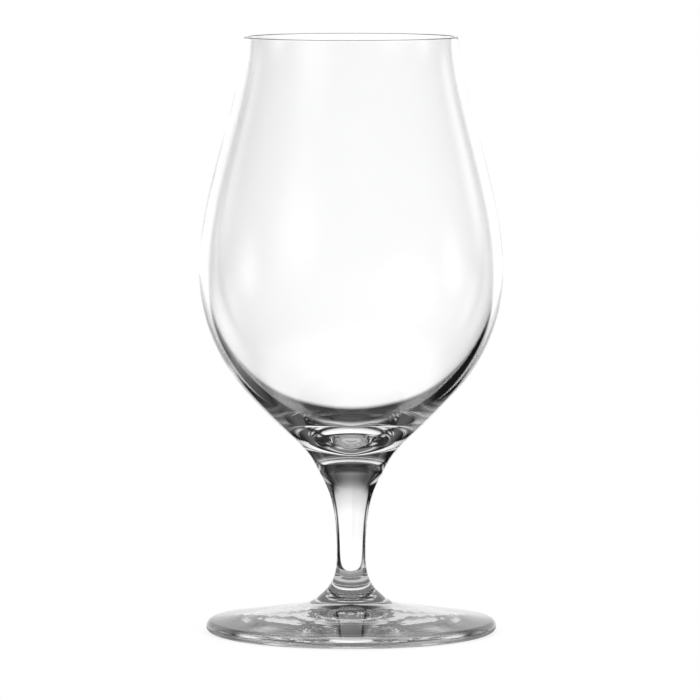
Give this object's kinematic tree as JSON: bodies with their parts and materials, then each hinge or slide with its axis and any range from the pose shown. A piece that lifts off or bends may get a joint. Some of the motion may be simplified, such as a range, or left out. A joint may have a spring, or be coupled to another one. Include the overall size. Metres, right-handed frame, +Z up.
{
  "type": "tulip beer glass",
  "caption": "Clear stemmed tulip beer glass: round-bellied blown bowl drawn in to a narrow rim, on a short waisted stem and a wide round foot.",
  "frame": {"origin": "middle of the foot, in the plane of the ring that the glass stands on", "axes": "+Z up along the glass's axis, from the foot to the rim; the glass is round, so X and Y are free"},
  "size_m": [0.0928, 0.0928, 0.182],
  "materials": {
    "clear_glass": "colourless fire-polished glass, smooth and clear"
  },
  "bodies": {
    "root": {"bowl": "clear_glass", "stem": "clear_glass", "foot": "clear_glass"}
  },
  "joints": []
}
